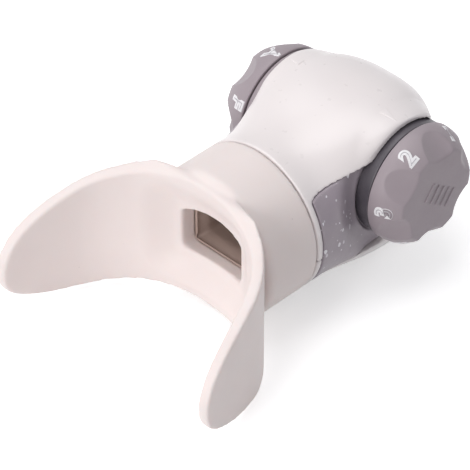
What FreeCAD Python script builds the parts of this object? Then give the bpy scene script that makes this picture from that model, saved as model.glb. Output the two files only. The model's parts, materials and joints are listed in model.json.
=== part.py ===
import FreeCAD, Part
import Sketcher
import math
import os

# A hand-held breathing trainer: a silicone lip piece on a round tube, a two-shell case with speckled
# side panels, and two six-step dials that set the resistance of breathing in and breathing out.
# Every piece is drawn from the centre of the joint between mouthpiece and case, where the tube's axis
# passes: X runs to the right-hand dial, Y from the mouth to the rear, Z up. The finished pieces are then
# shifted so that the origin lies under the middle of the object, on the surface that it rests on.

doc = FreeCAD.newDocument("breathing_trainer")
sheet = doc.addObject("Spreadsheet::Sheet", "sizes")

DRIVING = {
    # case
    "neck_radius": 20.0,
    "neck_length": 4.8,
    "case_length": 51.9,
    "case_half_width": 19.6,
    "roof_height": 23.8,
    "belly_depth": 21.3,
    "base_depth": 20.6,
    "case_wall": 2.0,
    "widest_lead": 1.6,
    "side_power": 5.2,
    "belly_power": 3.0,
    "rear_power": 2.4,
    "parting_drop": 3.0,
    "seam_gap": 0.15,
    # side panels
    "panel_front": 2.1,
    "panel_top_front": 12.0,
    "panel_top_rear": 15.3,
    "panel_bottom": 12.3,
    "panel_bottom_rear": 11.6,
    "panel_knee": 18.9,
    "panel_heel": 24.0,
    "drum_start": 12.3,
    "panel_thickness": 1.6,
    "panel_gap": 0.15,
    "panel_boss_gap": 0.3,
    "drum_radius": 13.4,
    "drum_floor": 1.6,
    "drum_wall": 1.4,
    "seat_gap": 0.05,
    # mouthpiece
    "tube_bore_radius": 17.0,
    "tube_bore_depth": 11.0,
    "flange_setback": 17.8,
    "flange_reach": 52.6,
    "flange_thickness": 3.1,
    "flange_top": 18.4,
    "flange_bottom": 16.7,
    "lobe_sag": 18.7,
    "lobe_tip_drop": 6.5,
    "flange_mid_radius": 44.4,
    "flange_shoulder_radius": 22.0,
    "flange_leg_radius": 110.0,
    "flange_mid_turn": 18.4,
    "flange_shoulder_turn": 53.1,
    "flange_leg_spare": 0.7,
    "mouth_hole_width": 19.6,
    "mouth_hole_drop": 6.1,
    "mouth_hole_rise": 5.4,
    "mouth_hole_crown": 2.2,
    "mouth_corner": 2.0,
    "tube_end_setback": 1.8,
    "tube_end_round": 2.0,
    # air duct and valve chamber
    "duct_wall": 1.3,
    "duct_gap": 0.1,
    "collar_gap": 0.3,
    "collar_end_gap": 0.3,
    "nose_recess": 6.2,
    "spigot_wall": 1.6,
    "web_thickness": 1.6,
    "chamber_wall": 1.5,
    "chamber_half_width": 9.5,
    "chamber_half_length": 11.6,
    "chamber_half_height": 11.4,
    "duct_flange": 1.6,
    "duct_screw_radius": 0.9,
    "duct_screw_bite": 5.0,
    "duct_screw_side": 6.65,
    "duct_screw_drop": 3.0,
    "duct_screw_head": 1.2,
    "duct_screw_head_radius": 1.7,
    "duct_screw_spare": 1.4,
    "duct_boss_radius": 1.8,
    "seal_thickness": 1.2,
    "seal_gap": 0.1,
    "port_radius": 9.8,
    "port_wall": 1.5,
    "port_end": 16.0,
    # valves
    "seat_thickness": 1.5,
    "inhale_seat_out": 3.6,
    "exhale_seat_out": 0.6,
    "seat_window_radius": 2.1,
    "seat_window_pitch": 5.0,
    "guide_radius": 1.0,
    "guide_head_radius": 1.9,
    "guide_head_thickness": 0.7,
    "flap_radius": 7.9,
    "flap_thickness": 0.8,
    "flap_gap": 0.1,
    "flap_lift": 1.2,
    "flap_bore_gap": 0.08,
    # dials
    "dial_inset": 21.1,
    "dial_lift": 5.2,
    "collar_radius": 15.3,
    "collar_inner_radius": 13.9,
    "collar_start": 19.0,
    "collar_end": 20.8,
    "collar_floor": 1.5,
    "collar_side_gap": 0.2,
    "dial_gap": 0.3,
    "dial_rim_radius": 15.5,
    "dial_bend_at": 25.6,
    "dial_bend_radius": 14.5,
    "dial_face_radius": 12.0,
    "dial_face_at": 29.3,
    "dial_wall": 1.4,
    "dial_edge": 1.2,
    "dial_edge_run": 0.6,
    "inhale_dial_roll": 52.5,
    "exhale_dial_roll": 25.6,
    "dial_boss_radius": 3.6,
    "scallop_radius": 8.0,
    "scallop_depth": 1.8,
    "click_count": 6,
    "window_count": 6,
    "base_screw_count": 3,
    "base_screw_head_height": 0.9,
    "sink_gap": 0.1,
    "notch_radius": 0.9,
    "dial_shoulder": 0.9,
    "nib_radius": 0.8,
    "scallop_margin": 12.0,
    "axle_radius": 2.0,
    "axle_gap": 0.06,
    "disc_gap": 0.12,
    "washer_gap": 0.12,
    "axle_tail": 1.0,
    "axle_groove": 0.5,
    "press_gap": 0.03,
    "washer_radius": 3.5,
    "washer_thickness": 0.5,
    "clip_radius": 3.5,
    "clip_thickness": 0.8,
    "disc_thickness": 1.2,
    "disc_radius": 12.9,
    "orifice_pitch": 6.7,
    "orifice_smallest": 0.9,
    "orifice_step": 0.38,
    "nib_reach": 0.5,
    "inlet_radius": 2.8,
    "base_screw_pitch": 11.2,
    "base_screw_radius": 1.0,
    "base_screw_head": 1.9,
    # case screws
    "boss_radius": 2.2,
    "screw_radius": 1.1,
    "screw_head_radius": 1.8,
    "screw_head_height": 1.6,
    "screw_seat_depth": 5.0,
    "screw_bite": 6.0,
    "screw_gap": 0.2,
    "screw_end_gap": 0.5,
    "thread_gap": 0.02,
    "post_radius": 1.8,
    "post_side": 5.7,
    "rib_thickness": 1.6,
    "front_rib_lead": 4.8,
    "rear_rib_setback": 6.2,
    "front_screw_at": 8.6,
    "front_screw_side": 12.0,
    "rear_screw_inset": 5.3,
    # pointers
    "pointer_half_width": 1.1,
    "pointer_length": 2.4,
    "pointer_relief": 0.25,
    "pointer_side": 14.4,
    "pointer_lead": 2.2,
}

DERIVED = {
    "port_outer_radius": "=port_radius + port_wall",
    "shift_back": "=(flange_reach - case_length) / 2",
    # along the case, all from its rear end forwards
    "dial_setback": "=case_length - dial_inset",
    "dial_back": "=dial_setback + shift_back",
    "widest_at": "=dial_setback - widest_lead",
    "pointer_setback": "=dial_setback - pointer_lead",
    "rear_rib_at": "=dial_setback + rear_rib_setback",
    "duct_end": "=dial_setback - chamber_half_length - seal_thickness",
    "front_rib_at": "=duct_end - duct_flange - rib_thickness - front_rib_lead",
    "rear_screw_at": "=case_length - rear_screw_inset",
    "dial_height": "=dial_lift + base_depth",
    # the drum on each panel, behind the dial base
    "drum_end": "=collar_start - seat_gap",
    "drum_inner_radius": "=drum_radius - drum_wall",
    "drum_inside": "=drum_end - drum_floor",
    # dial base
    "collar_floor_top": "=collar_start + collar_floor",
    "axle_bore_radius": "=axle_radius + axle_gap",
    # what turns with the dial
    "disc_start": "=collar_floor_top + disc_gap",
    "disc_end": "=disc_start + disc_thickness",
    "dial_rim_at": "=collar_end + dial_gap",
    "dial_roof_inside": "=dial_face_at - dial_wall",
    "dial_cavity_rim": "=dial_rim_radius - dial_wall",
    "dial_cavity_top": "=dial_face_radius - dial_wall",
    "dial_edge_start": "=dial_face_at - dial_edge",
    "dial_flat_radius": "=dial_face_radius - dial_edge_run",
    "axle_end": "=dial_roof_inside",
    "washer_start": "=drum_inside - washer_thickness",
    "clip_start": "=washer_start - clip_thickness",
    "axle_start": "=clip_start - axle_tail",
    "axle_groove_radius": "=axle_radius - axle_groove",
    "clip_bore_radius": "=axle_groove_radius + press_gap",
    "washer_bore_radius": "=axle_radius + washer_gap",
    "dial_bore_radius": "=axle_radius + press_gap",
    "seal_inner_radius": "=port_radius + seal_gap",
    "seal_outer_radius": "=port_outer_radius - seal_gap",
    "seat_radius": "=port_radius - seal_gap",
    # valve seats and flaps, measured outwards from the middle plane
    "inhale_seat_start": "=chamber_half_width + inhale_seat_out",
    "inhale_seat_end": "=inhale_seat_start + seat_thickness",
    "inhale_flap_end": "=inhale_seat_start - flap_gap",
    "inhale_flap_start": "=inhale_flap_end - flap_thickness",
    "inhale_head_end": "=inhale_flap_start - flap_lift - flap_gap",
    "inhale_head_start": "=inhale_head_end - guide_head_thickness",
    "exhale_seat_start": "=chamber_half_width + exhale_seat_out",
    "exhale_seat_end": "=exhale_seat_start + seat_thickness",
    "exhale_flap_start": "=exhale_seat_end + flap_gap",
    "exhale_flap_end": "=exhale_flap_start + flap_thickness",
    "exhale_head_start": "=exhale_flap_end + flap_lift + flap_gap",
    "exhale_head_end": "=exhale_head_start + guide_head_thickness",
    "flap_bore_radius": "=guide_radius + flap_bore_gap",
    "base_screw_bore": "=base_screw_radius + thread_gap",
    "base_sink_radius": "=base_screw_head + sink_gap",
    "sink_start": "=collar_floor_top - base_screw_head_height - sink_gap",
    "nib_pitch": "=disc_radius + nib_reach - nib_radius",
    "dial_shoulder_at": "=dial_rim_at + dial_shoulder",
    "scallop_run": "=dial_face_at - dial_shoulder_at",
    "scallop_fall": "=dial_rim_radius - dial_face_radius + scallop_depth",
    "scallop_slant": "=atan(scallop_fall / scallop_run) / 1 deg",
    "scallop_tilt": "=90 + scallop_slant",
    "scallop_from": "=dial_shoulder_at - scallop_margin * cos(scallop_slant * 1 deg)",
    "scallop_level": "=dial_rim_radius + scallop_radius / cos(scallop_slant * 1 deg)"
                     " + scallop_margin * sin(scallop_slant * 1 deg)",
    "scallop_length": "=scallop_margin * 3",
}

# six breathing holes of growing size, evenly about the dial axis from its lowest point
WORDS = ("one", "two", "three", "four", "five", "six")
for step, word in enumerate(WORDS):
    turn = "(%d * 360 deg / click_count)" % step
    DERIVED["orifice_radius_" + word] = "=orifice_smallest + orifice_step * %d" % step
    DERIVED["orifice_across_" + word] = "=orifice_pitch * sin" + turn
    DERIVED["orifice_up_" + word] = "=-orifice_pitch * cos" + turn

for row, (alias, value) in enumerate(list(DRIVING.items()) + list(DERIVED.items()), start=1):
    sheet.set("A%d" % row, alias)
    sheet.set("B%d" % row, str(value))
    sheet.setAlias("B%d" % row, alias)
doc.recompute()


def size(word):
    """The value of a size, with an optional minus sign before its name."""
    if word.startswith("-"):
        return -float(sheet.get(word[1:]))
    return float(sheet.get(word))


def formula(word):
    return word.replace("-", "-sizes.") if word.startswith("-") else "sizes." + word


# Sketch helpers

def plane(body, role):
    return next(f for f in body.Origin.OriginFeatures if f.Role == role)


def new_sketch(body, role, name):
    sketch = body.newObject("Sketcher::SketchObject", name)
    sketch.AttachmentSupport = (plane(body, role), [""])
    sketch.MapMode = "FlatFace"
    return sketch


def hold_point(sketch, geometry, end, across, up):
    """Fix one point of a sketch at named distances from the sketch's axes."""
    for word, kind, axis in ((across, "DistanceX", -2), (up, "DistanceY", -1)):
        if word is None:
            sketch.addConstraint(Sketcher.Constraint("PointOnObject", geometry, end, axis))
        else:
            index = sketch.addConstraint(Sketcher.Constraint(kind, -1, 1, geometry, end, size(word)))
            sketch.setExpression("Constraints[%d]" % index, formula(word))


def place(word):
    return 0.0 if word is None else size(word)


def outline(sketch, corners):
    """A closed outline of straight lines; each corner is two size names, or None on an axis."""
    points = [FreeCAD.Vector(place(a), place(b), 0) for a, b in corners]
    first = sketch.GeometryCount
    for index, point in enumerate(points):
        sketch.addGeometry(Part.LineSegment(point, points[(index + 1) % len(points)]), False)
    for index, (across, up) in enumerate(corners):
        previous = first + (index - 1) % len(corners)
        sketch.addConstraint(Sketcher.Constraint("Coincident", previous, 2, first + index, 1))
        hold_point(sketch, first + index, 1, across, up)


def ring(sketch, radius, across=None, up=None):
    centre = FreeCAD.Vector(place(across), place(up), 0)
    index = sketch.addGeometry(Part.Circle(centre, FreeCAD.Vector(0, 0, 1), size(radius)), False)
    hold_point(sketch, index, 3, across, up)
    held = sketch.addConstraint(Sketcher.Constraint("Radius", index, size(radius)))
    sketch.setExpression("Constraints[%d]" % held, formula(radius))


def new_body(name):
    body = doc.addObject("PartDesign::Body", name)
    body.Label = name
    return body


def turned(body, corners, name):
    """A solid turned about the X axis; corners are (distance along X, radius)."""
    sketch = new_sketch(body, "XY_Plane", name + "_outline")
    outline(sketch, corners)
    revolution = body.newObject("PartDesign::Revolution", name)
    revolution.Profile = sketch
    revolution.ReferenceAxis = (sketch, ["H_Axis"])
    revolution.Angle = 360
    sketch.Visibility = False
    return revolution


def holes_through(body, circles, name):
    """Round holes along X, cut right through; circles are (radius, across, up)."""
    sketch = new_sketch(body, "YZ_Plane", name + "_outline")
    for radius, across, up in circles:
        ring(sketch, radius, across, up)
    pocket = body.newObject("PartDesign::Pocket", name)
    pocket.Profile = sketch
    pocket.Type = "ThroughAll"
    pocket.Midplane = True
    return pocket


def around(body, feature, count_word, name):
    """Repeat a feature evenly about the X axis."""
    pattern = body.newObject("PartDesign::PolarPattern", name)
    pattern.Originals = [feature]
    pattern.Axis = (plane(body, "X_Axis"), [""])
    pattern.Angle = 360
    pattern.setExpression("Occurrences", formula(count_word))
    body.Tip = pattern
    return pattern


def at_dial(item, side, roll=0.0):
    """Stand a piece on the dial axis, facing right for inhale and left for exhale."""
    facing = FreeCAD.Rotation(FreeCAD.Vector(0, 0, 1), 0 if side == "inhale" else 180)
    rolled = FreeCAD.Rotation(FreeCAD.Vector(1, 0, 0), roll)
    centre = FreeCAD.Vector(0, size("dial_back"), size("dial_height"))
    item.Placement = FreeCAD.Placement(centre, facing.multiply(rolled))
    item.setExpression("Placement.Base.y", "sizes.dial_back")
    item.setExpression("Placement.Base.z", "sizes.dial_height")


def at_seam(item):
    """Shift a piece that is drawn from the centre of the neck joint."""
    item.Placement.Base = FreeCAD.Vector(0, size("shift_back"), size("base_depth"))
    item.setExpression("Placement.Base.y", "sizes.shift_back")
    item.setExpression("Placement.Base.z", "sizes.base_depth")


def free_shape(name, shape):
    item = doc.addObject("Part::Feature", name)
    item.Label = name
    item.Shape = shape
    at_seam(item)
    return item


def vector(x, y, z):
    return FreeCAD.Vector(x, y, z)


# Case shapes

SECTION_POINTS = 24
END_POWER = 2.2
REAR_STATIONS = 5
FRONT_STATIONS = 4
LAST_STATION = 0.994


def case_section(y, inset):
    """One cross-section of the case: a circle at the neck that grows square shoulders to the rear."""
    widest = size("widest_at")
    rear = widest + (size("case_length") - inset - widest) / LAST_STATION
    grow = min(max((y - size("neck_length")) / (widest - size("neck_length")), 0.0), 1.0)
    grow = grow * grow * (3 - 2 * grow)
    beyond = min(max((y - widest) / (rear - widest), 0.0), 1.0)
    power = size("rear_power")
    taper = (1 - beyond ** power) ** (1 / power)
    neck = size("neck_radius")
    half = (neck + (size("case_half_width") - neck) * grow - inset) * taper
    roof = (neck + (size("roof_height") - neck) * grow - inset) * taper
    belly = (neck + (size("belly_depth") - neck) * grow - inset) * taper
    top_power = 2 + (size("side_power") - 2) * grow
    low_power = 2 + (size("belly_power") - 2) * grow
    top_power += (END_POWER - top_power) * beyond
    low_power += (END_POWER - low_power) * beyond
    points = []
    for step in range(SECTION_POINTS):
        angle = 2 * math.pi * step / SECTION_POINTS
        across, up = math.cos(angle), math.sin(angle)
        bend = 2 / (top_power if up >= 0 else low_power)
        x = half * math.copysign(abs(across) ** bend, across)
        z = (roof if up >= 0 else belly) * math.copysign(abs(up) ** bend, up)
        points.append(vector(x, y, z))
    curve = Part.BSplineCurve()
    curve.interpolate(points, PeriodicFlag=True)
    return Part.Wire([curve.toShape()])


def case_solid(inset, start):
    """The whole case as one solid, its surface moved inwards by inset."""
    neck, widest = size("neck_length"), size("widest_at")
    rear = size("case_length") - inset
    stations = [start, neck]
    stations += [neck + (widest - neck) * i / FRONT_STATIONS for i in range(1, FRONT_STATIONS + 1)]
    last = math.asin(LAST_STATION)
    stations += [widest + (rear - widest) * math.sin(last * i / REAR_STATIONS) / LAST_STATION
                 for i in range(1, REAR_STATIONS + 1)]
    return Part.makeLoft([case_section(y, inset) for y in stations], True, False)


def block(low, high):
    return Part.makeBox(high[0] - low[0], high[1] - low[1], high[2] - low[2], vector(*low))


def rod(radius, low_end, axis, length):
    return Part.makeCylinder(radius, length, vector(*low_end), vector(*axis))


FAR = 100.0
CUT_MARGIN = 1.0  # how far a cutting tool runs past what it cuts
JOIN = 0.01  # how far two pieces of one solid reach into each other


def panel_prism(gap, side):
    """The side window's outline, carried right through one side of the case."""
    front = size("panel_front") - gap
    knee, heel = size("panel_knee"), size("panel_heel")
    centre_y, centre_z = size("dial_setback"), size("dial_lift")
    rim = size("drum_radius")
    corners = [
        (front, -size("panel_bottom") - gap),
        (front, size("panel_top_front") + gap),
        (knee, size("panel_top_rear") + gap),
        (centre_y, centre_z + rim + gap),
        (centre_y, centre_z - rim - gap),
        (heel, -size("panel_bottom_rear") - gap),
    ]
    start = size("front_screw_side") + size("boss_radius") + size("panel_boss_gap") - gap
    face = Part.Face(Part.makePolygon([vector(start, y, z) for y, z in corners + corners[:1]]))
    prism = face.extrude(vector(FAR, 0, 0))
    deep = size("chamber_half_width")
    prism = prism.fuse(rod(rim + gap, (deep, centre_y, centre_z), (1, 0, 0), FAR))
    return prism if side > 0 else prism.mirror(vector(0, 0, 0), vector(1, 0, 0))


def dial_recess(side):
    """The round seat that a dial base sinks into, carried outwards."""
    radius = size("collar_radius") + size("collar_side_gap")
    centre = (side * size("drum_end"), size("dial_setback"), size("dial_lift"))
    return rod(radius, centre, (side, 0, 0), FAR)


def case_screws():
    side, front = size("front_screw_side"), size("front_screw_at")
    return [(-side, front), (side, front), (0, size("rear_screw_at"))]


outer = case_solid(0, size("seam_gap"))
inner = case_solid(size("case_wall"), -CUT_MARGIN)
flat_cut = block((-FAR, -FAR, -FAR), (FAR, FAR, -size("base_depth")))
windows = panel_prism(size("panel_gap"), 1).fuse(panel_prism(size("panel_gap"), -1))
case_walls = outer.cut([inner, windows, flat_cut, dial_recess(1), dial_recess(-1)])
case_room = inner.cut([windows, flat_cut])
parting = -size("parting_drop")


def shell(above):
    """The top or the bottom shell with its screw bosses and inner ribs."""
    low, high = (parting, FAR) if above else (-FAR, parting)
    wall = case_walls.common(block((-FAR, -FAR, low), (FAR, FAR, high)))
    additions = []
    for x, y in case_screws():
        additions.append(rod(size("boss_radius"), (x, y, low), (0, 0, 1), high - low))
    if above:
        post_low = size("dial_lift") + size("chamber_half_height")
        for x in (-size("post_side"), size("post_side")):
            centre = (x, size("dial_setback"), post_low)
            additions.append(rod(size("post_radius"), centre, (0, 0, 1), FAR))
    else:
        wide = size("chamber_half_width")
        duct_low = -size("mouth_hole_drop") + size("duct_gap")
        chamber_low = size("dial_lift") - size("chamber_half_height")
        for start, top in ((size("front_rib_at"), duct_low), (size("rear_rib_at"), chamber_low)):
            additions.append(block((-wide, start, low), (wide, start + size("rib_thickness"), top)))
    extra = additions[0].fuse(additions[1:]).common(case_room)
    tools = []
    for x, y in case_screws():
        bore = size("screw_radius") + (size("thread_gap") if above else size("screw_gap"))
        low_end = (x, y, screw_seat() - CUT_MARGIN)
        depth = CUT_MARGIN + screw_reach() + size("screw_end_gap")
        tools.append(rod(bore, low_end, (0, 0, 1), depth))
        tools.append(rod(size("screw_head_radius") + size("screw_gap"), (x, y, -FAR), (0, 0, 1),
                         FAR + screw_seat()))
    return wall.fuse(extra).cut(tools)


def screw_seat():
    """Level of the underside bosses' counterbores."""
    return parting - size("screw_seat_depth")


def screw_reach():
    return size("screw_seat_depth") + size("screw_bite")


def side_panel(side):
    skin = outer.cut([case_solid(size("panel_thickness"), 0.0), dial_recess(side)])
    skin = skin.common(panel_prism(0, side))
    centre = (side * size("drum_start"), size("dial_setback"), size("dial_lift"))
    outwards = (side, 0, 0)
    length = size("drum_end") - size("drum_start")
    depth = length - size("drum_floor")
    bore = rod(size("drum_inner_radius"), centre, outwards, depth)
    skin = skin.cut(rod(size("drum_inner_radius"), (0, centre[1], centre[2]), outwards, FAR))
    panel = skin.fuse(rod(size("drum_radius"), centre, outwards, length).cut(bore))
    panel = panel.cut(rod(size("washer_bore_radius"), centre, outwards, FAR))
    for radius, y, z in base_holes(size("base_screw_radius") + size("thread_gap")):
        panel = panel.cut(rod(radius, (centre[0], centre[1] + side * y, centre[2] + z), outwards, FAR))
    return panel


def base_holes(screw_bore):
    """Openings of a dial base, across and up from the dial axis: the inlet and three screws."""
    pitch, count = size("base_screw_pitch"), int(size("base_screw_count"))
    holes = [(size("inlet_radius"), 0.0, -size("orifice_pitch"))]
    for step in range(count):
        angle = math.pi / 2 + 2 * math.pi * step / count
        holes.append((screw_bore, pitch * math.cos(angle), pitch * math.sin(angle)))
    return holes


free_shape("top_shell", shell(True))
free_shape("bottom_shell", shell(False))
right_panel = side_panel(1)
free_shape("side_panel_right", right_panel)
free_shape("side_panel_left", right_panel.mirror(vector(0, 0, 0), vector(1, 0, 0)))


# Mouthpiece

def flange_side(extra, side):
    """Three tangent arcs of the flange's plan, from its middle to a lobe's end."""
    radii = [size("flange_mid_radius"), size("flange_shoulder_radius"), size("flange_leg_radius")]
    ends = [size("flange_mid_turn"), size("flange_mid_turn") + size("flange_shoulder_turn"), None]
    centre = vector(0, -size("flange_setback") - radii[0], 0)
    angle, edges = 0.0, []
    for index, (end, radius) in enumerate(zip(ends, radii)):
        if end is None:
            last = -size("flange_reach") - size("flange_leg_spare")
            end = math.degrees(math.acos((last - centre.y) / (radius + size("flange_thickness"))))
        marks = [math.radians(angle + (end - angle) * part) for part in (0, 0.5, 1)]
        angle = end
        points = [centre + vector(math.sin(m), math.cos(m), 0) * (radius + extra) for m in marks]
        points = [vector(side * p.x, p.y, 0) for p in points]
        edges.append(Part.Arc(*points).toShape())
        if index < len(radii) - 1:
            centre = centre + vector(math.sin(marks[2]), math.cos(marks[2]), 0) * (radius - radii[index + 1])
    return edges


def flange_band():
    """The U-shaped band that lies behind the lips, before its lobes are shaped."""
    thick = size("flange_thickness")
    inside = flange_side(0, 1)
    outside = flange_side(thick, 1)
    inside_left = flange_side(0, -1)
    outside_left = flange_side(thick, -1)
    caps = [Part.LineSegment(a[-1].Vertexes[-1].Point, b[-1].Vertexes[-1].Point).toShape()
            for a, b in ((inside, outside), (inside_left, outside_left))]
    edges = inside + outside + inside_left + outside_left + caps
    wire = Part.Wire(Part.__sortEdges__(edges))
    return Part.Face(wire).extrude(vector(0, 0, 2 * FAR)).translated(vector(0, 0, -FAR))


# The flange's rims in side view: how far along from its middle to the tip, and how far up
# from the tip's level to the top at the middle, or down from it to the lowest point.
UPPER_RIM = [(0.76, 0.491), (0.93, 0.271)]
LOWER_RIM = [(0.96, 0.47), (0.85, 0.71), (0.66, 0.904), (0.36, 1.0)]


def lobe_profile():
    """Side view of the flange: a falling upper rim, a round tip and a nearly level lower rim."""
    reach, tip = -size("flange_reach"), -size("lobe_tip_drop")
    top, bottom, sag = size("flange_top"), -size("flange_bottom"), -size("lobe_sag")
    root = -size("flange_setback")
    span = root - reach
    back = root + size("flange_thickness")
    rim = [(root, top)]
    rim += [(root - span * along, tip + (top - tip) * up) for along, up in UPPER_RIM]
    rim.append((reach, tip))
    rim += [(root - span * along, tip + (sag - tip) * down) for along, down in LOWER_RIM]
    rim.append((root, bottom))
    curve = Part.BSplineCurve()
    curve.interpolate([vector(0, y, z) for y, z in rim])
    back += CUT_MARGIN
    ends = [(root, bottom), (back, bottom), (back, top), (root, top)]
    lines = [Part.LineSegment(vector(0, *a), vector(0, *b)).toShape() for a, b in zip(ends, ends[1:])]
    face = Part.Face(Part.Wire(Part.__sortEdges__([curve.toShape()] + lines)))
    return face.extrude(vector(2 * FAR, 0, 0)).translated(vector(-FAR, 0, 0))


def mouth_hole(inset, start, end):
    """A bar with the mouth opening's outline: flat below, slightly crowned above."""
    half = size("mouth_hole_width") / 2 - inset
    low, high = -size("mouth_hole_drop") + inset, size("mouth_hole_rise") - inset
    crown = high + size("mouth_hole_crown")
    bar = block((-half, start, low), (half, end, high))
    corners = [e for e in bar.Edges if abs(e.tangentAt(e.FirstParameter).y) > 0.9
               and e.Vertexes[0].Z < 0]
    bar = bar.makeFillet(size("mouth_corner") - inset, corners)
    left, right = vector(-half, start, high - JOIN), vector(half, start, high - JOIN)
    arc = Part.Arc(left, vector(0, start, crown), right)
    chord = Part.LineSegment(right, left)
    cap = Part.Face(Part.Wire([arc.toShape(), chord.toShape()])).extrude(vector(0, end - start, 0))
    return bar.fuse(cap)


def mouthpiece():
    radius, bore = size("neck_radius"), size("tube_bore_radius")
    flange = flange_band().common(lobe_profile())
    front = -size("flange_setback") + size("tube_end_setback")
    tube = rod(radius, (0, front, 0), (0, 1, 0), -front)
    rim = [e for e in tube.Edges if abs(e.BoundBox.YMax - front) < JOIN and e.BoundBox.XMax > bore]
    tube = tube.makeFillet(size("tube_end_round"), rim)
    soft = flange.fuse(tube)
    soft = soft.cut(rod(bore, (0, -size("tube_bore_depth"), 0), (0, 1, 0), FAR))
    return soft.cut(mouth_hole(0, -FAR, 0))


free_shape("mouthpiece", mouthpiece())


# Air duct, gasket and valve chamber

def air_duct():
    gap, wall = size("duct_gap"), size("duct_wall")
    half = size("mouth_hole_width") / 2 - gap
    low, high = -size("mouth_hole_drop") + gap, size("mouth_hole_rise") - gap
    nose = -size("flange_setback") + size("nose_recess")
    end = size("duct_end")
    web = -size("tube_bore_depth") + gap
    spigot = size("tube_bore_radius") - gap
    collar = size("neck_radius") - size("case_wall") - size("collar_gap")
    seam, neck = size("collar_end_gap"), size("neck_length")
    cup = rod(spigot, (0, web, 0), (0, 1, 0), neck - web)
    cup = cup.fuse(rod(collar, (0, seam, 0), (0, 1, 0), neck - seam))
    cup = cup.cut(rod(spigot - size("spigot_wall"), (0, web + size("web_thickness"), 0), (0, 1, 0), FAR))
    tube = block((-half, nose, low), (half, end, high))
    long_edges = [e for e in tube.Edges if abs(e.tangentAt(e.FirstParameter).y) > 0.9]
    tube = tube.makeFillet(size("mouth_corner") - gap, long_edges)
    wide = size("chamber_half_width")
    plate = block((-wide, end - size("duct_flange"), chamber_low() + gap), (wide, end, chamber_high() - gap))
    solid = cup.fuse([tube, plate])
    solid = solid.cut(block((-half + wall, -FAR, low + wall), (half - wall, FAR, high - wall)))
    return solid.cut(duct_screw_bores())


def chamber_low():
    return size("dial_lift") - size("chamber_half_height")


def chamber_high():
    return size("dial_lift") + size("chamber_half_height")


def duct_screw_rods(radius, start, length):
    """Two bars along Y where the duct's flange is screwed to the chamber."""
    level, across = chamber_high() - size("duct_screw_drop"), size("duct_screw_side")
    return [rod(radius, (x, start, level), (0, 1, 0), length) for x in (-across, across)]


def duct_screw_bores(length=FAR):
    return duct_screw_rods(size("duct_screw_radius") + size("thread_gap"), -CUT_MARGIN, length)


def duct_window(start, end):
    gap, wall = size("duct_gap"), size("duct_wall")
    half = size("mouth_hole_width") / 2 - gap - wall
    half = min(half, size("chamber_half_width") - size("chamber_wall"))
    low, high = -size("mouth_hole_drop") + gap + wall, size("mouth_hole_rise") - gap - wall
    return block((-half, start, low), (half, end, high))


def duct_gasket():
    gap, wide = size("duct_gap"), size("chamber_half_width")
    pad = block((-wide, size("duct_end"), chamber_low() + gap),
                (wide, size("duct_end") + size("seal_thickness"), chamber_high() - gap))
    return pad.cut([duct_window(-FAR, FAR)] + duct_screw_bores())


def valve_chamber():
    half, wall = size("chamber_half_width"), size("chamber_wall")
    middle, long = size("dial_setback"), size("chamber_half_length")
    box = block((-half, middle - long, chamber_low()), (half, middle + long, chamber_high()))
    hollow = block((-half + wall, middle - long + wall, chamber_low() + wall),
                   (half - wall, middle + long - wall, chamber_high() - wall))
    end, centre = size("port_end"), (-size("port_end"), middle, size("dial_lift"))
    solid = box.fuse(rod(size("port_outer_radius"), centre, (1, 0, 0), 2 * end))
    solid = solid.cut([rod(size("port_radius"), centre, (1, 0, 0), 2 * end), hollow])
    front = middle - long
    bosses = duct_screw_rods(size("duct_boss_radius"), front, size("duct_screw_bite"))
    solid = solid.fuse([boss.common(box) for boss in bosses])
    solid = solid.cut(duct_window(0, front + wall + CUT_MARGIN))
    return solid.cut(duct_screw_bores(front + size("duct_screw_bite")))


def duct_screws():
    head = size("duct_screw_head")
    start = size("duct_end") - size("duct_flange") - head
    end = size("duct_end") + size("seal_thickness") + size("duct_screw_bite") - size("duct_screw_spare")
    shanks = duct_screw_rods(size("duct_screw_radius"), start, end - start)
    heads = duct_screw_rods(size("duct_screw_head_radius"), start, head)
    return Part.makeCompound([shank.fuse(head) for shank, head in zip(shanks, heads)])


free_shape("air_duct", air_duct())
free_shape("duct_gasket", duct_gasket())
free_shape("valve_chamber", valve_chamber())
free_shape("duct_screws", duct_screws())


# Valves and dials, drawn outwards from the middle of the case along the dial axis

def ring_solid(side, name, start, end, bore, radius):
    body = new_body(side + "_" + name)
    turned(body, [(start, bore), (start, radius), (end, radius), (end, bore)], side + "_" + name + "_ring")
    at_dial(body, side)
    return body


def valve_seat(side):
    """A disc with six windows and a headed pin that guides the flap."""
    name = side + "_valve_seat"
    body = new_body(name)
    start, end = side + "_seat_start", side + "_seat_end"
    head_start, head_end = side + "_head_start", side + "_head_end"
    if side == "inhale":
        corners = [(head_start, None), (head_start, "guide_head_radius"), (head_end, "guide_head_radius"),
                   (head_end, "guide_radius"), (start, "guide_radius"), (start, "seat_radius"),
                   (end, "seat_radius"), (end, None)]
    else:
        corners = [(start, None), (start, "seat_radius"), (end, "seat_radius"), (end, "guide_radius"),
                   (head_start, "guide_radius"), (head_start, "guide_head_radius"),
                   (head_end, "guide_head_radius"), (head_end, None)]
    turned(body, corners, name + "_disc")
    window = holes_through(body, [("seat_window_radius", None, "seat_window_pitch")], name + "_window")
    around(body, window, "window_count", name + "_windows")
    at_dial(body, side)


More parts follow.
